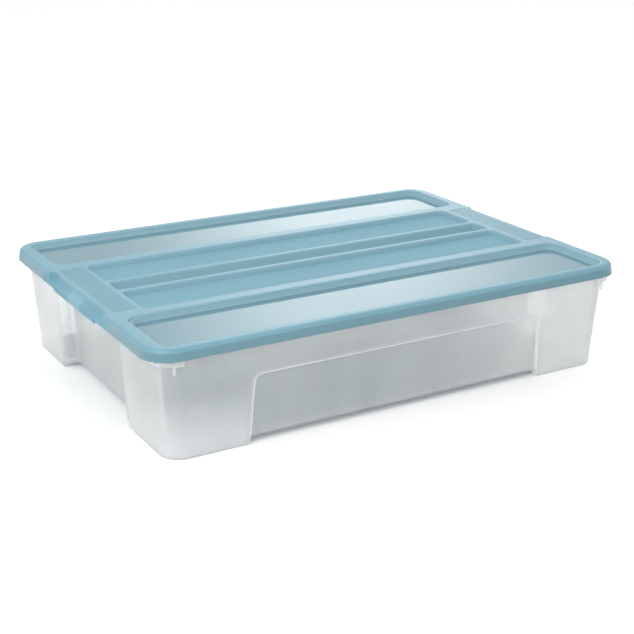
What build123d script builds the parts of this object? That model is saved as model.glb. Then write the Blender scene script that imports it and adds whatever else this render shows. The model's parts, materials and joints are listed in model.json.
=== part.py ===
"""Low storage box that slides under a bed: a clear tub on four corner feet, and a lift-off lid.

Millimetres, +Z up.  The origin is on the floor, at the middle of the box.  X runs along the box and
Y across it.  Both pieces are mirror images about the XZ and YZ planes.
"""
from build123d import *

import os

# ---- overall -------------------------------------------------------------------------------
LENGTH = 800.0              # over the lid's skirt, along X
WIDTH = 568.0               # over the lid's skirt, along Y
HEIGHT = 167.0              # from the floor to the lid's top
SHELL = 2.0                 # moulded wall thickness of both pieces
FAR = 500.0                 # half size of a cutter that has to run past the box
LOOSE = 0.001               # edges this close to a height count as lying at it

# ---- tub -----------------------------------------------------------------------------------
LID_GAP = 0.3               # between the rim's top and the lid
RIM_TOP = HEIGHT - SHELL - LID_GAP
FOOT_HALF_X = 373.7         # half size of the tub at the floor
FOOT_HALF_Y = 266.4
FOOT_CORNER = 32.0
WALL_TOP_HALF_X = 384.3     # half size of the tub's wall at the rim
WALL_TOP_HALF_Y = 275.6
WALL_TOP_CORNER = 34.0
FLOOR_UNDERSIDE = 10.6      # the floor hangs between the feet at this height
FOOT_INNER_X = 251.0        # inner sides of the feet
FOOT_INNER_Y = 132.0
FOOT_EDGE = 12.0            # rounding of the feet's inner corners
BAY_SET_BACK = 20.0         # hand bay in the middle of each end, from the floor to the rim
BAY_HALF_Y = 117.0
BAY_FLARE = 14.0            # rounding where the bay meets the end of the tub
BAY_CORNER = 7.0
PANEL_SET_BACK = 3.0        # step of the sunk panels in the long walls
PANEL_TOP = 104.0
PANEL_HALF_TOP = 243.5
PANEL_HALF_BOTTOM = 250.5
PANEL_CORNER = 12.0
FOOT_BOTTOM_ROUND = 1.6

# ---- rim around the tub's mouth --------------------------------------------------------------
RIM_HALF_X = 390.0          # half size of the rim at its top
RIM_HALF_Y = 277.6
RIM_CORNER = 37.0
RIM_FLARE_X = 1.5           # how far the turned-down edge leans out over RIM_LIP_TALL
RIM_FLARE_Y = 2.8
RIM_THICKNESS = 1.8
RIM_LIP_SIDE_BOTTOM = 147.5
RIM_LIP_END_BOTTOM = 140.5
RIM_ROUND = 2.0
CORNER_LIP_START_X = 352.0  # the lip is deeper round each corner, from here
CORNER_LIP_START_Y = 150.0
RIM_GAP_X = 386.0           # the rim steps in to here at the lid's finger holds
GUSSET_X = 364.0            # small ribs that brace the rim beside each corner
GUSSET_BOTTOM = 127.0
GUSSET_THICKNESS = 2.4
GUSSET_ROOT = 5.0           # how far out from the foot's face the ribs begin

# ---- lid -------------------------------------------------------------------------------------
SKIRT_BOTTOM = 149.4
SKIRT_LEAN = 3.3            # the skirt stands this much further out at its bottom
SKIRT_CORNER = 41.0
LID_CORNER = 38.0
LID_EDGE_ROUND = 6.0

# Sunk panels of the lid's top, given by their edges at the top surface.
WIDE_HALF_X = 377.0
WIDE_INNER_Y = 137.0
WIDE_OUTER_Y = 267.0
WIDE_CORNER = 20.0
WIDE_STEP_DROP = 3.5
WIDE_LEDGE = 5.5
WIDE_DROP = 9.2
NARROW_HALF_X = 337.0
MIDDLE_INNER_Y = 28.5
MIDDLE_OUTER_Y = 115.0
MIDDLE_CORNER = 11.0
MIDDLE_DROP = 7.5
CHANNEL_HALF_Y = 20.0
CHANNEL_CORNER = 7.0
CHANNEL_DROP = 12.0
WALL_LEAN = 0.18            # draft of the sunk panels' walls, as a slope
PANEL_FOOT_ROUND = 1.6      # rounding along the foot of each sunk wall
MOUTH_ROUND = 2.6           # rounding of the sunk panels' top edges
STEP_FOOT_ROUND = 0.6       # rounding where the wide panels' upper wall meets its step
LEDGE_ROUND = 1.1           # rounding of the step inside the wide panels

# Ribbed pads at the two ends of the lid's top.
PAD_INNER_X = 345.5
PAD_OUTER_X = 381.0
PAD_HALF_Y = 108.0
PAD_DROP = 0.7
PAD_CORNER = 3.0
PAD_RIB_COUNT = 9
PAD_RIB_WIDTH = 2.7
PAD_RIB_END = 2.0           # the ribs stop this far from the pad's ends
PAD_RIB_BELOW = 0.05        # the ribs' tops lie this far under the lid's top

# Finger hold at the two ends of the lid: a scoop along the edge over a deeper lip.
SCOOP_RADIUS = 12.5
SCOOP_X = 400.5
SCOOP_Z = 168.5
SCOOP_HALF_Y = 108.0
SCOOP_END_ROUND = 5.0
LIP_BOTTOM = 145.4
LIP_HALF_Y = 82.0


def plan(half_x, half_y, corner, z):
    """Rounded rectangle about the Z axis, at height z."""
    return Plane.XY.offset(z) * RectangleRounded(2 * half_x, 2 * half_y, corner)


def between(lower, upper):
    """Straight-sided block between two outlines."""
    return loft([lower, upper], ruled=True)


def slab(x_range, y_range, z_range):
    """Plain block between two corners."""
    size = [high - low for low, high in (x_range, y_range, z_range)]
    centre = [(low + high) / 2 for low, high in (x_range, y_range, z_range)]
    return Pos(*centre) * Box(*size)


def mirrored_x(solid):
    """The solid and its mirror image at the other end of the box."""
    return solid + mirror(solid, about=Plane.YZ)


def mirrored_y(solid):
    """The solid and its mirror image on the other long side."""
    return solid + mirror(solid, about=Plane.XZ)


def level_edges(solid, z, inside_x, inside_y):
    """Edges that lie flat at height z, within these half sizes of the Z axis."""

    def wanted(edge):
        box = edge.bounding_box()
        flat = abs(box.min.Z - z) < LOOSE and abs(box.max.Z - z) < LOOSE
        near_x = max(-box.min.X, box.max.X) < inside_x
        near_y = max(-box.min.Y, box.max.Y) < inside_y
        return flat and near_x and near_y

    return solid.edges().filter_by(wanted)


# ---- tub -------------------------------------------------------------------------------------
def wall_half(z):
    """Half length and half width over the tub's drafted wall, at height z."""
    share = z / RIM_TOP
    half_x = FOOT_HALF_X + share * (WALL_TOP_HALF_X - FOOT_HALF_X)
    half_y = FOOT_HALF_Y + share * (WALL_TOP_HALF_Y - FOOT_HALF_Y)
    return half_x, half_y


def wall_block(inset, bottom, top):
    """Block that follows the tub's drafted wall, set in from it by inset."""

    def outline(z):
        half_x, half_y = wall_half(z)
        corner = FOOT_CORNER + z / RIM_TOP * (WALL_TOP_CORNER - FOOT_CORNER)
        return plan(half_x - inset, half_y - inset, corner - inset, z)

    return between(outline(bottom), outline(top))


def panel_cutter(grow, inner_inset):
    """Space in front of the arch-shaped panels, down to inner_inset behind the wall's face."""
    foot = (PANEL_HALF_BOTTOM + grow, -grow)
    shoulder = (PANEL_HALF_TOP + grow, PANEL_TOP + grow)
    arch = Polygon((-foot[0], foot[1]), foot, shoulder, (-shoulder[0], shoulder[1]), align=None)
    arch = fillet(arch.vertices().sort_by(Axis.Y)[-2:], PANEL_CORNER + grow)
    return extrude(Plane.XZ * arch, amount=FAR, both=True) - wall_block(inner_inset, 0, HEIGHT)


def hand_bay(grow, top):
    """Space of the hand bay in one end, as drafted as the end wall, with a flared mouth."""
    half = BAY_HALF_Y + grow
    flare = BAY_FLARE - grow
    bottom = -1.0

    def outline(z):
        inner_x = wall_half(z)[0] - BAY_SET_BACK - grow
        middle = Pos((inner_x + FAR) / 2, 0, z)
        return middle * RectangleRounded(FAR - inner_x, 2 * half, BAY_CORNER + grow)

    def flare_block(z, side):
        inner_x = wall_half(z)[0] - flare
        middle = Pos((inner_x + FAR) / 2, side * (half + flare / 2), z)
        return middle * Rectangle(FAR - inner_x, flare)

    def flare_post(z, side):
        return Pos(wall_half(z)[0] - flare, side * (half + flare), z) * Circle(flare)

    bay = between(outline(bottom), outline(top))
    for side in (1, -1):
        block = between(flare_block(bottom, side), flare_block(top, side))
        bay += block - between(flare_post(bottom, side), flare_post(top, side))
    return bay


def foot_columns(grow, bottom, top):
    """Four columns, one over each foot, that run past the outside of the tub."""
    size_x = FAR - FOOT_INNER_X - grow
    size_y = FAR - FOOT_INNER_Y - grow
    outline = Sketch()
    for side_x in (1, -1):
        for side_y in (1, -1):
            centre = Pos(side_x * (FAR - size_x / 2), side_y * (FAR - size_y / 2))
            outline += centre * RectangleRounded(size_x, size_y, FOOT_EDGE - grow)
    return extrude(Plane.XY.offset(bottom) * outline, amount=top - bottom)


def rim():
    """Turned-down rim around the mouth, deeper round the two ends."""

    def outline(z, inset):
        share = (RIM_TOP - z) / (RIM_TOP - RIM_LIP_SIDE_BOTTOM)
        return plan(
            RIM_HALF_X + share * RIM_FLARE_X - inset,
            RIM_HALF_Y + share * RIM_FLARE_Y - inset,
            RIM_CORNER + share * RIM_FLARE_X - inset,
            z,
        )

    outside = between(outline(RIM_LIP_END_BOTTOM, 0), outline(RIM_TOP, 0))
    outside = fillet(outside.edges().group_by(Axis.Z)[-1], RIM_ROUND)
    hollow_top = RIM_TOP - SHELL
    hollow = between(outline(RIM_LIP_END_BOTTOM - 1, RIM_THICKNESS), outline(hollow_top, RIM_THICKNESS))
    ring = (outside - mirrored_x(rim_gap(0))) - (hollow - mirrored_x(rim_gap(RIM_THICKNESS)))
    below_lip = (RIM_LIP_END_BOTTOM - 1, RIM_LIP_SIDE_BOTTOM)
    ring -= slab((-CORNER_LIP_START_X, CORNER_LIP_START_X), (-FAR, FAR), below_lip)
    ring -= slab((-FAR, FAR), (-CORNER_LIP_START_Y, CORNER_LIP_START_Y), below_lip)
    for side_y in (1, -1):
        for side_x in (1, -1):
            middle = side_x * GUSSET_X
            ring += slab(
                (middle - GUSSET_THICKNESS / 2, middle + GUSSET_THICKNESS / 2),
                sorted((side_y * (FOOT_HALF_Y + GUSSET_ROOT), side_y * RIM_HALF_Y)),
                (GUSSET_BOTTOM, RIM_TOP - SHELL),
            )
    return ring


def rim_gap(grow):
    """Space that the rim leaves for the lid's finger hold at one end."""
    half = SCOOP_HALF_Y + SCOOP_END_ROUND + grow
    return slab((RIM_GAP_X - grow, FAR), (-half, half), (0, HEIGHT + 1))


def make_tub():
    """Clear tub: drafted walls, floor hung between four hollow feet, sunk panels and a rim."""
    outside = wall_block(0, 0, RIM_TOP)
    under_floor = slab((-FAR, FAR), (-FAR, FAR), (-1, FLOOR_UNDERSIDE))
    outside -= under_floor - foot_columns(0, -1, FLOOR_UNDERSIDE)
    outside -= mirrored_x(hand_bay(0, RIM_TOP - SHELL))
    outside -= panel_cutter(0, PANEL_SET_BACK)

    inside = wall_block(SHELL, SHELL, HEIGHT)
    below_floor = slab((-FAR, FAR), (-FAR, FAR), (-1, FLOOR_UNDERSIDE + SHELL))
    inside -= below_floor - foot_columns(SHELL, -1, FLOOR_UNDERSIDE + SHELL)
    inside -= mirrored_x(hand_bay(SHELL, HEIGHT + 1))
    mouth = inside
    inside -= panel_cutter(SHELL, PANEL_SET_BACK + SHELL)
    tub = (outside - inside) + (rim() - mouth)
    return fillet(level_edges(tub, 0, FAR, FAR), FOOT_BOTTOM_ROUND)


# ---- lid -------------------------------------------------------------------------------------
def skirt_block(inset, bottom, top, edge_round):
    """Block that follows the lid's leaning skirt, set in from it, with a rounded top edge."""

    def outline(z):
        share = (HEIGHT - z) / (HEIGHT - SKIRT_BOTTOM)
        lean = (share - 1) * SKIRT_LEAN
        return plan(
            LENGTH / 2 + lean - inset,
            WIDTH / 2 + lean - inset,
            LID_CORNER + share * (SKIRT_CORNER - LID_CORNER) - inset,
            z,
        )

    block = between(outline(bottom), outline(top))
    return fillet(block.edges().group_by(Axis.Z)[-1], edge_round)


def pocket(x_range, y_range, corner, z_range, foot_round):
    """Sunk panel: its top edge is given, and its walls lean in towards the foot."""
    tall = z_range[1] - z_range[0]
    lean = tall * WALL_LEAN
    centre = ((x_range[0] + x_range[1]) / 2, (y_range[0] + y_range[1]) / 2)
    size = (x_range[1] - x_range[0], y_range[1] - y_range[0])
    low = Plane.XY.offset(z_range[0]) * Pos(*centre)
    high = Plane.XY.offset(z_range[1]) * Pos(*centre)
    block = between(
        low * RectangleRounded(size[0] - 2 * lean, size[1] - 2 * lean, corner - lean),
        high * RectangleRounded(*size, corner),
    )
    return fillet(block.edges().group_by(Axis.Z)[0], foot_round)


def lid_pockets(grow):
    """The five sunk panels; with grow they are the outsides of their pans."""
    above = HEIGHT + (0 if grow else 1)

    def sunk(half_x, y_range, corner, drop, foot_round=PANEL_FOOT_ROUND):
        floor = HEIGHT - drop - grow
        extra = (above - HEIGHT) * WALL_LEAN + grow
        x_range = (-half_x - extra, half_x + extra)
        sunk_y = (y_range[0] - extra, y_range[1] + extra)
        return pocket(x_range, sunk_y, corner + extra, (floor, above), foot_round + grow)

    wide_y = (WIDE_INNER_Y, WIDE_OUTER_Y)
    wide = sunk(WIDE_HALF_X, wide_y, WIDE_CORNER, WIDE_STEP_DROP, STEP_FOOT_ROUND)
    lower_top = HEIGHT - WIDE_STEP_DROP
    wide += pocket(
        (-WIDE_HALF_X + WIDE_LEDGE - grow, WIDE_HALF_X - WIDE_LEDGE + grow),
        (WIDE_INNER_Y + WIDE_LEDGE - grow, WIDE_OUTER_Y - WIDE_LEDGE + grow),
        WIDE_CORNER - WIDE_LEDGE / 2 + grow,
        (HEIGHT - WIDE_DROP - grow, lower_top),
        PANEL_FOOT_ROUND + grow,
    )
    middle = sunk(NARROW_HALF_X, (MIDDLE_INNER_Y, MIDDLE_OUTER_Y), MIDDLE_CORNER, MIDDLE_DROP)
    channel = sunk(NARROW_HALF_X, (-CHANNEL_HALF_Y, CHANNEL_HALF_Y), CHANNEL_CORNER, CHANNEL_DROP)
    return mirrored_y(wide) + mirrored_y(middle) + channel


def ribbed_pad():
    """Material to take away from the lid's top so that a ribbed pad stays."""
    size = (PAD_OUTER_X - PAD_INNER_X, 2 * PAD_HALF_Y)
    centre_x = (PAD_OUTER_X + PAD_INNER_X) / 2
    sunk = Plane.XY.offset(HEIGHT - PAD_DROP) * Pos(centre_x, 0) * RectangleRounded(*size, PAD_CORNER)
    pad = extrude(sunk, amount=PAD_DROP + 1)
    pitch = size[0] / PAD_RIB_COUNT
    for index in range(PAD_RIB_COUNT):
        middle = PAD_INNER_X + (index + 0.5) * pitch
        rib_x = (middle - PAD_RIB_WIDTH / 2, middle + PAD_RIB_WIDTH / 2)
        rib_y = (PAD_RIB_END - PAD_HALF_Y, PAD_HALF_Y - PAD_RIB_END)
        pad -= slab(rib_x, rib_y, (0, HEIGHT - PAD_RIB_BELOW))
    return pad


def finger_scoop(grow):
    """Round scoop along the middle of one end's top edge."""
    length = 2 * (SCOOP_HALF_Y + grow)
    bar = Cylinder(SCOOP_RADIUS + grow, length, rotation=(90, 0, 0))
    bar = fillet(bar.edges().filter_by(GeomType.CIRCLE), SCOOP_END_ROUND + grow)
    return Pos(SCOOP_X, 0, SCOOP_Z) * bar


def make_lid():
    """One-piece lid: a skirt, a framed top with five sunk panels, pads and finger holds."""
    outside = skirt_block(0, SKIRT_BOTTOM, HEIGHT, LID_EDGE_ROUND)
    outside -= mirrored_x(finger_scoop(0))
    inner_round = LID_EDGE_ROUND - SHELL
    inside = skirt_block(SHELL, SKIRT_BOTTOM - 1, HEIGHT - SHELL, inner_round)
    inside -= mirrored_x(finger_scoop(SHELL))
    lid = outside - inside
    lid += lid_pockets(SHELL)
    lid -= lid_pockets(0)
    lid = fillet(level_edges(lid, HEIGHT, WIDE_HALF_X + 1, WIDE_OUTER_Y + 1), MOUTH_ROUND)
    ledge_z = HEIGHT - WIDE_STEP_DROP
    lid = fillet(level_edges(lid, ledge_z, WIDE_HALF_X, WIDE_OUTER_Y), LEDGE_ROUND)
    lid -= mirrored_x(ribbed_pad())
    lip = slab(
        (LENGTH / 2 - SHELL, LENGTH / 2), (-LIP_HALF_Y, LIP_HALF_Y), (LIP_BOTTOM, SKIRT_BOTTOM + 2)
    )
    return lid + mirrored_x(lip)


def main():
    os.makedirs("parts", exist_ok=True)
    for name, solid in (("tub", make_tub()), ("lid", make_lid())):
        export_step(solid, f"parts/{name}.step")


main()
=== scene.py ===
"""Looks of the under bed box: a clear, faintly frosted tub under a satin blue lid.

Metres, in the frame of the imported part: the origin is on the floor under the middle of the box, X runs
along it, Y across it and Z up. Angles are in degrees. An azimuth is counted from the front of the box, -Y,
towards its right end, +X.
"""
import json
import math

import bpy
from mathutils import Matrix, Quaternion, Vector


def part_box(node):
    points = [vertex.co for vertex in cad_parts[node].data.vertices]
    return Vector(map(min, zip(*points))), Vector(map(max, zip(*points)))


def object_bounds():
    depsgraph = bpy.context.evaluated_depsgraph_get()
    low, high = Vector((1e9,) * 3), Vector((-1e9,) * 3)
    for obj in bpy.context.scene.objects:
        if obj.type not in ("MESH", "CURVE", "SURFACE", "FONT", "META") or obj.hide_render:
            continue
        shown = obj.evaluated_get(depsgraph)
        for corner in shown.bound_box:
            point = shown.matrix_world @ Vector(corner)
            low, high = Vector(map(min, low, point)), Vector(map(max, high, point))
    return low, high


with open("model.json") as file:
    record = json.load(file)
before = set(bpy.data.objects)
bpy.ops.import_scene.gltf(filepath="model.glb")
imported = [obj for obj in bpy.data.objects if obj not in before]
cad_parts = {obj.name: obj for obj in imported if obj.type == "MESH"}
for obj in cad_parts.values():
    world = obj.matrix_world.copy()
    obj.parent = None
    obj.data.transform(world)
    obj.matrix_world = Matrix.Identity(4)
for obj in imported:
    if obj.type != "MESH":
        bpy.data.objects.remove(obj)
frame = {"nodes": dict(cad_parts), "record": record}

CAD_LOW, CAD_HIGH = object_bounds()
TUB_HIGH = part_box("tub")[1]
MM = 0.001

# ---- view; lens and sensor are in millimetres ------------------------------------------------
AZIMUTH = -30.2
ELEVATION = 18.9
ROLL = 0.27
DISTANCE = 2.098
LENS = 73.87
SENSOR = 36.0
SHIFT = (0.0082, -0.0284)
AIM = Vector((0.0009, -0.0005, 0.090))

# ---- light: a white room with one soft glow, and two soft lights -----------------------------
ROOM_STRENGTH = 1.05
GLOW_STRENGTH = 1.95
GLOW_AZIMUTH = 148.0
GLOW_ASIDE_FADE = (1.0, 12.0)
GLOW_UPWARD_FADE = (24.0, 42.0)
LIGHT_DISTANCE = 2.6

# ---- studio floor ----------------------------------------------------------------------------
FLOOR_WHITE = (0.93, 0.93, 0.93)
FLOOR_DARKER = 0.985
FLOOR_HALF = 12.0
FLOOR_GAP = 0.2 * MM

# ---- lid: colours as linear light, and the finish of its satin, polished and matte parts -----
LID_BLUE = (0.197, 0.378, 0.455)
LID_BLUE_DEEP = (0.170, 0.338, 0.413)
# The pale blue is painted light: it lightens the channel's floor and the sunk walls beyond what the lamps
# give them.
LID_BLUE_LIT = (0.370, 0.560, 0.630)
# The next blue is painted shade and reflection: a darker, greyer blue on the polished wide floors, in place
# of how they look at a grazing angle.
LID_BLUE_WIDE_SHADED = (0.117, 0.222, 0.264)
LID_GLOW = (0.330, 0.600, 0.680)
LID_FLOW_SHARE = 0.4
# Share of painted shade on the wide floors.
WIDE_SHADE_SHARE = 0.8
# Shares of painted light on the channel's floor and on the sunk walls.
CHANNEL_PAINTED_LIGHT = 0.35
WALL_PAINTED_LIGHT = 0.85
SATIN_ROUGH = (0.29, 0.36)
POLISHED_ROUGH = (0.045, 0.065)
MATTE_ROUGH = (0.54, 0.62)
SHINE = 0.5
MATTE_SHINE = 0.22
LID_GRAIN = 0.16
POLISHED_GRAIN = 0.03
LID_GRAIN_DEPTH = 0.06 * MM
LID_WARP = 0.35
POLISHED_WARP = 0.06
LID_WARP_DEPTH = 1.0 * MM
FRAME_THROUGH = 0.28
WALL_THROUGH = 0.36
WIDE_THROUGH = 0.18

# ---- tub: colours as linear light, how milky its parts are, and its gloss --------------------
TUB_MILK = (0.965, 0.985, 0.985)
TUB_TINT = (0.986, 0.992, 0.992)
TUB_TINT_EDGE = (0.970, 0.980, 0.980)
TUB_FLOW_SHARE = 0.5
HAZE = (0.22, 0.27)
HAZE_EDGE_ON = 0.24
HAZE_FOOT = 0.30
# Milky line along the arch panels' outline: partly the step's own milkiness where its wall is seen edge on,
# partly a painted highlight in place of the light its edge catches.
HAZE_ARCH_HIGHLIGHT = 0.45
TUB_ROUGH = (0.14, 0.22)
TUB_GRAIN = 0.08
TUB_GRAIN_DEPTH = 0.05 * MM
MIRROR_SHARE = 0.6

# ---- where the lid's sunk floors end and its skirt begins ------------------------------------
OPENINGS = {entry["name"]: entry["box_m"] for entry in frame["record"]["physics"]["openings"]}
WIDE_LOW, WIDE_HIGH = (Vector(corner) for corner in OPENINGS["wide_panel_back"])
MIDDLE_LOW, MIDDLE_HIGH = (Vector(corner) for corner in OPENINGS["middle_panel_back"])
CHANNEL_HIGH = Vector(OPENINGS["channel"][1])
WIDE_FLOOR_TOP = WIDE_LOW.z + 2.9 * MM
MIDDLE_FLOOR_TOP = MIDDLE_LOW.z + 2.2 * MM
FLOOR_TOP_BLUR = 0.5 * MM
PANELS_SPLIT_Y = (MIDDLE_HIGH.y + WIDE_LOW.y) / 2
CHANNEL_SPLIT_Y = (CHANNEL_HIGH.y + MIDDLE_LOW.y) / 2
SKIRT_X = WIDE_HIGH.x + 15 * MM
SKIRT_Y = WIDE_HIGH.y + 17 * MM

# ---- upright part of a face's normal, from a steep face to a flat one ------------------------
STEEP_TO_FLAT = (0.55, 0.9)

# ---- where the tub's feet, arch panels and long walls are ------------------------------------
FOOT_INNER_X = OPENINGS["gap_between_feet_across"][1][0]
FOOT_INNER_Y = OPENINGS["gap_between_feet_along"][1][1]
FOOT_BLUR = 14 * MM
PANEL_TOP = 104 * MM
PANEL_TOP_HALF = 243.5 * MM
PANEL_CORNER = 12 * MM
ARCH_LINE_HALF = 1.5 * MM
ARCH_LINE_BLUR = 0.7 * MM
LONG_WALL_Y = TUB_HIGH.y - 27 * MM
LONG_WALL_BLUR = 3 * MM

# ---- bounds that hold most values of a noise -------------------------------------------------
NOISE_LOW, NOISE_HIGH = 0.3, 0.7


class Nodes:
    """Short way to build the node tree of a material or a world."""

    def __init__(self, owner):
        owner.use_nodes = True
        self.owner = owner
        self.tree = owner.node_tree
        self.tree.nodes.clear()

    def add(self, kind, *inputs, settings=None, **named_inputs):
        """Adds a node, with its inputs given in their order or by name."""
        node = self.tree.nodes.new(kind)
        for key, value in (settings or {}).items():
            setattr(node, key, value)
        for key, value in [*enumerate(inputs), *named_inputs.items()]:
            self.put(node, key, value)
        return node

    def put(self, node, key, value):
        """Sets an input, by name or index, to a value or links it to a socket or a node's first output."""
        socket = node.inputs[key]
        if isinstance(value, bpy.types.NodeSocket):
            self.tree.links.new(value, socket)
        elif isinstance(value, bpy.types.Node):
            self.tree.links.new(value.outputs[0], socket)
        elif isinstance(value, tuple) and len(value) < len(socket.default_value):
            socket.default_value = (*value, 1.0)
        else:
            socket.default_value = value

    def place(self):
        return self.add("ShaderNodeTexCoord").outputs["Object"]

    def noise(self, scale, detail, rough, stretch=(1.0, 1.0, 1.0)):
        moved = self.add("ShaderNodeMapping", self.place(), Scale=stretch)
        node = self.add("ShaderNodeTexNoise", moved, Scale=scale, Detail=detail, Roughness=rough)
        return node.outputs["Fac"]

    def span(self, value, low, high, to_low=0.0, to_high=1.0, smooth=True):
        """Maps one range to another, and holds the ends."""
        kind = {"interpolation_type": "SMOOTHSTEP" if smooth else "LINEAR"}
        node = self.add("ShaderNodeMapRange", value, low, high, to_low, to_high, settings=kind)
        return node.outputs["Result"]

    def above(self, value, limit, blur=1 * MM):
        """1 where a value is above a limit and 0 where it is below, with a soft edge."""
        return self.span(value, limit - blur, limit + blur)

    def below(self, value, limit, blur=1 * MM):
        """1 where a value is below a limit and 0 where it is above, with a soft edge."""
        return self.span(value, limit - blur, limit + blur, 1.0, 0.0)

    def vary(self, noise, low, high):
        """A value that drifts between two bounds with a noise."""
        return self.span(noise, NOISE_LOW, NOISE_HIGH, low, high)

    def maths(self, operation, first, second=0.0):
        return self.add("ShaderNodeMath", first, second, settings={"operation": operation}).outputs[0]

    def vector(self, operation, *inputs):
        return self.add("ShaderNodeVectorMath", *inputs, settings={"operation": operation}).outputs

    def blend(self, share, first, second):
        """Mixes two colours."""
        node = self.add("ShaderNodeMix", share, settings={"data_type": "RGBA"})
        self.put(node, 6, first)
        self.put(node, 7, second)
        return node.outputs[2]

    def weigh(self, share, first, second):
        """Mixes two numbers."""
        node = self.add("ShaderNodeMix", share, settings={"data_type": "FLOAT"})
        self.put(node, 2, first)
        self.put(node, 3, second)
        return node.outputs[0]

    def bump(self, height, strength, distance):
        return self.add("ShaderNodeBump", Height=height, Strength=strength, Distance=distance)

    def finish(self, shader):
        self.add("ShaderNodeOutputMaterial", shader)
        return self.owner


def lid_zones(n):
    """Masks of the lid's sunk parts: wide floors, floors between those, channel's floor and all walls."""
    axes = n.add("ShaderNodeSeparateXYZ", n.place()).outputs
    along = n.maths("ABSOLUTE", axes["X"])
    across = n.maths("ABSOLUTE", axes["Y"])
    facing = n.add("ShaderNodeSeparateXYZ", n.add("ShaderNodeNewGeometry").outputs["Normal"]).outputs
    wide = n.below(axes["Z"], WIDE_FLOOR_TOP, FLOOR_TOP_BLUR)
    sunk = n.below(axes["Z"], MIDDLE_FLOOR_TOP, FLOOR_TOP_BLUR)
    steep = n.span(n.maths("ABSOLUTE", facing["Z"]), *STEEP_TO_FLAT, 1.0, 0.0)
    within_skirt = n.maths("MULTIPLY", n.below(across, SKIRT_Y), n.below(along, SKIRT_X))
    in_wide = n.maths("MULTIPLY", wide, n.above(across, PANELS_SPLIT_Y))
    in_middle = n.maths("MULTIPLY", sunk, n.below(across, PANELS_SPLIT_Y))
    in_channel = n.maths("MULTIPLY", sunk, n.below(across, CHANNEL_SPLIT_Y))
    return in_wide, in_middle, in_channel, n.maths("MULTIPLY", steep, within_skirt)


def lid_plastic():
    """Blue moulding: satin frame, polished wide floors painted a darker, greyer blue as shade, matte middle
    ones, and channel and sunk walls painted paler as light.
    """
    n = Nodes(bpy.data.materials.new("lid_plastic"))
    in_wide, in_middle, in_channel, sunk_wall = lid_zones(n)
    cloud = n.noise(scale=7.0, detail=4.0, rough=0.55)
    flow = n.noise(scale=5.0, detail=5.0, rough=0.6, stretch=(0.5, 4.0, 4.0))
    grain = n.noise(scale=900.0, detail=2.0, rough=0.6)
    warp = n.noise(scale=6.0, detail=1.0, rough=0.4, stretch=(0.7, 1.4, 1.0))
    tone = n.weigh(LID_FLOW_SHARE, cloud, flow)
    colour = n.blend(n.vary(tone, 0.0, 1.0), LID_BLUE_DEEP, LID_BLUE)
    # Painted shade: the wide floors get a darker, greyer blue.
    colour = n.blend(n.maths("MULTIPLY", in_wide, WIDE_SHADE_SHARE), colour, LID_BLUE_WIDE_SHADED)
    # Painted light: the channel's floor and the sunk walls get a paler blue.
    colour = n.blend(n.maths("MULTIPLY", in_channel, CHANNEL_PAINTED_LIGHT), colour, LID_BLUE_LIT)
    colour = n.blend(n.maths("MULTIPLY", sunk_wall, WALL_PAINTED_LIGHT), colour, LID_BLUE_LIT)
    rough = n.weigh(in_wide, n.vary(tone, *SATIN_ROUGH), n.vary(tone, *POLISHED_ROUGH))
    rough = n.weigh(in_middle, rough, n.vary(tone, *MATTE_ROUGH))
    fine = n.bump(grain, n.weigh(in_wide, LID_GRAIN, POLISHED_GRAIN), LID_GRAIN_DEPTH)
    normal = n.bump(warp, n.weigh(in_wide, LID_WARP, POLISHED_WARP), LID_WARP_DEPTH)
    n.put(normal, "Normal", fine)
    body = n.add("ShaderNodeBsdfPrincipled", colour, Roughness=rough, IOR=1.49, Normal=normal)
    n.put(body, "Specular IOR Level", n.weigh(in_middle, SHINE, MATTE_SHINE))
    glow = n.add("ShaderNodeBsdfTranslucent", Color=LID_GLOW, Normal=normal)
    through = n.weigh(in_wide, n.weigh(sunk_wall, FRAME_THROUGH, WALL_THROUGH), WIDE_THROUGH)
    return n.finish(n.add("ShaderNodeMixShader", through, body, glow))


def arch_highlight_line(n, along, across, height):
    """Mask of a thin line on the long walls: the arch panels' outline, leaning sides and round corners,
    where a milky line is partly the step's own milkiness and partly a painted highlight.
    """
    half = n.span(height, 0.0, PANEL_TOP, FOOT_INNER_X, PANEL_TOP_HALF, smooth=False)
    past_side = n.maths("SUBTRACT", along, n.maths("SUBTRACT", half, PANEL_CORNER))
    past_top = n.maths("SUBTRACT", height, PANEL_TOP - PANEL_CORNER)
    squares = [n.maths("POWER", n.maths("MAXIMUM", past, 0.0), 2.0) for past in (past_side, past_top)]
    outside = n.maths("SQRT", n.maths("ADD", *squares))
    inside = n.maths("MINIMUM", n.maths("MAXIMUM", past_side, past_top), 0.0)
    from_line = n.maths("ABSOLUTE", n.maths("SUBTRACT", n.maths("ADD", outside, inside), PANEL_CORNER))
    on_line = n.below(from_line, ARCH_LINE_HALF, ARCH_LINE_BLUR)
    return n.maths("MULTIPLY", on_line, n.above(across, LONG_WALL_Y, LONG_WALL_BLUR))


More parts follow.
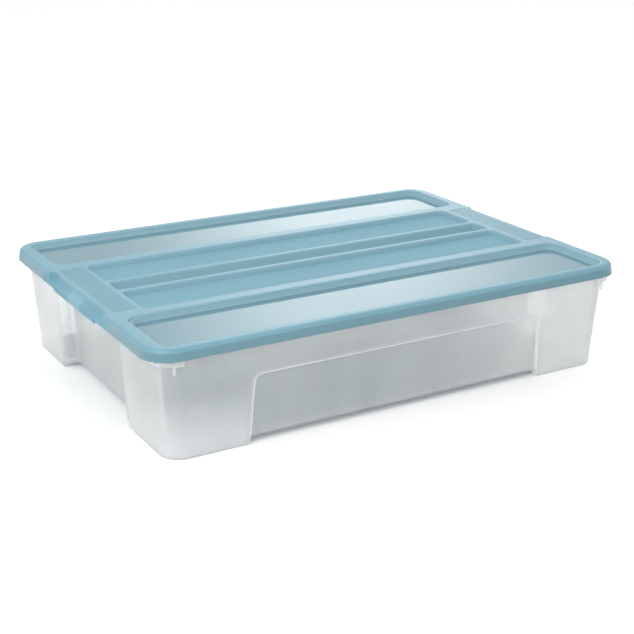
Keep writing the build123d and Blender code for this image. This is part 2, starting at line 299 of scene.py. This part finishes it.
def tub_plastic():
    """Clear polypropylene: milkier in the feet and where seen edge on, and along the arch panels' outline,
    partly from the step and partly as a painted highlight.
    """
    n = Nodes(bpy.data.materials.new("tub_plastic"))
    axes = n.add("ShaderNodeSeparateXYZ", n.place()).outputs
    along = n.maths("ABSOLUTE", axes["X"])
    across = n.maths("ABSOLUTE", axes["Y"])
    cloud = n.noise(scale=6.0, detail=4.0, rough=0.55)
    flow = n.noise(scale=4.0, detail=5.0, rough=0.6, stretch=(3.0, 3.0, 0.8))
    grain = n.noise(scale=700.0, detail=2.0, rough=0.6)
    tone = n.weigh(TUB_FLOW_SHARE, cloud, flow)
    edge_on = n.add("ShaderNodeLayerWeight", Blend=0.35).outputs["Facing"]
    over_foot = n.maths(
        "MULTIPLY", n.above(along, FOOT_INNER_X, FOOT_BLUR), n.above(across, FOOT_INNER_Y, FOOT_BLUR)
    )
    low = n.span(axes["Z"], 0.0, PANEL_TOP, HAZE_FOOT, 0.0)
    haze = n.maths("ADD", n.vary(tone, *HAZE), n.maths("MULTIPLY", edge_on, HAZE_EDGE_ON))
    haze = n.maths("ADD", haze, n.maths("MULTIPLY", over_foot, low))
    # Painted highlight, partly real milkiness of the step: a milky line along the arch panels' outline.
    haze = n.maths("ADD", haze, n.maths("MULTIPLY", arch_highlight_line(n, along, across, axes["Z"]), HAZE_ARCH_HIGHLIGHT))
    normal = n.bump(grain, TUB_GRAIN, TUB_GRAIN_DEPTH)
    clear = n.add("ShaderNodeBsdfTransparent", n.blend(edge_on, TUB_TINT, TUB_TINT_EDGE))
    milk = n.add("ShaderNodeBsdfDiffuse", Color=TUB_MILK, Normal=normal)
    through = n.add("ShaderNodeBsdfTranslucent", Color=TUB_MILK, Normal=normal)
    wall = n.add("ShaderNodeMixShader", haze, clear, n.add("ShaderNodeMixShader", 0.5, milk, through))
    gloss = n.add("ShaderNodeBsdfGlossy", Roughness=n.vary(tone, *TUB_ROUGH), Normal=normal)
    mirror = n.maths("MULTIPLY", n.add("ShaderNodeFresnel", IOR=1.40, Normal=normal), MIRROR_SHARE)
    return n.finish(n.add("ShaderNodeMixShader", mirror, wall, gloss))


def floor_paint():
    """Plain pale studio floor with a trace of unevenness."""
    n = Nodes(bpy.data.materials.new("studio_floor"))
    darker = tuple(value * FLOOR_DARKER for value in FLOOR_WHITE)
    colour = n.blend(n.noise(scale=1.5, detail=2.0, rough=0.5), darker, FLOOR_WHITE)
    return n.finish(n.add("ShaderNodeBsdfDiffuse", colour))


def dress(node_name, material):
    """Gives a CAD node its finish."""
    node = frame["nodes"][node_name]
    node.data.materials.clear()
    node.data.materials.append(material)
    for polygon in node.data.polygons:
        polygon.material_index = 0


def direction(azimuth, elevation):
    """Unit vector that points away from the box."""
    turn, rise = math.radians(azimuth), math.radians(elevation)
    return Vector((math.sin(turn) * math.cos(rise), -math.cos(turn) * math.cos(rise), math.sin(rise)))


def make_floor():
    """A wide pale floor under the box."""
    mesh = bpy.data.meshes.new("studio_floor")
    corners = [(x * FLOOR_HALF, y * FLOOR_HALF, 0.0) for x, y in ((-1, -1), (1, -1), (1, 1), (-1, 1))]
    mesh.from_pydata(corners, [], [(0, 1, 2, 3)])
    mesh.materials.append(floor_paint())
    floor = bpy.data.objects.new("studio_floor", mesh)
    bpy.context.scene.collection.objects.link(floor)
    floor.location.z = CAD_LOW.z - FLOOR_GAP


def make_room():
    """White room with one soft glow, which fades sideways from its middle and upwards."""
    n = Nodes(bpy.data.worlds.new("studio"))
    looking = n.add("ShaderNodeTexCoord").outputs["Generated"]
    level = n.vector("MULTIPLY", looking, (1.0, 1.0, 0.0))["Vector"]
    level = n.vector("NORMALIZE", level)["Vector"]
    cosine = n.vector("DOT_PRODUCT", level, direction(GLOW_AZIMUTH, 0.0))["Value"]
    height = n.add("ShaderNodeSeparateXYZ", looking).outputs["Z"]
    aside_fade = (math.radians(angle) for angle in GLOW_ASIDE_FADE)
    upward_fade = (math.sin(math.radians(angle)) for angle in GLOW_UPWARD_FADE)
    near = n.span(n.maths("ARCCOSINE", cosine), *aside_fade, 1.0, 0.0)
    low = n.span(height, *upward_fade, 1.0, 0.0)
    glow = n.maths("MULTIPLY", n.maths("MULTIPLY", near, low), GLOW_STRENGTH)
    room = n.add("ShaderNodeBackground", Color=(1.0, 1.0, 1.0), Strength=n.maths("ADD", glow, ROOM_STRENGTH))
    n.add("ShaderNodeOutputWorld", room)
    bpy.context.scene.world = n.owner


def softbox(name, azimuth, elevation, size, power):
    """Rectangular soft light that looks at the middle of the box."""
    data = bpy.data.lights.new(name, "AREA")
    data.shape = "RECTANGLE"
    data.size, data.size_y = size
    data.energy = power
    light = bpy.data.objects.new(name, data)
    bpy.context.scene.collection.objects.link(light)
    away = direction(azimuth, elevation)
    light.location = (CAD_LOW + CAD_HIGH) / 2 + away * LIGHT_DISTANCE
    light.rotation_mode = "QUATERNION"
    light.rotation_quaternion = away.to_track_quat("Z", "Y")


def make_camera():
    """Camera at the front left, a little above the box."""
    data = bpy.data.cameras.new("camera")
    data.lens = LENS
    data.sensor_width = SENSOR
    data.shift_x, data.shift_y = SHIFT
    camera = bpy.data.objects.new("camera", data)
    bpy.context.scene.collection.objects.link(camera)
    back = direction(AZIMUTH, ELEVATION)
    camera.location = AIM + back * DISTANCE
    camera.rotation_mode = "QUATERNION"
    roll = Quaternion((0.0, 0.0, 1.0), math.radians(ROLL))
    camera.rotation_quaternion = (-back).to_track_quat("-Z", "Y") @ roll
    bpy.context.scene.camera = camera


dress("lid", lid_plastic())
dress("tub", tub_plastic())
make_floor()
make_room()
softbox("front_left", azimuth=-52, elevation=32, size=(1.3, 1.3), power=30)
softbox("back_strip", azimuth=150, elevation=58, size=(2.4, 0.35), power=26)
make_camera()
bpy.context.scene.view_settings.view_transform = "Standard"
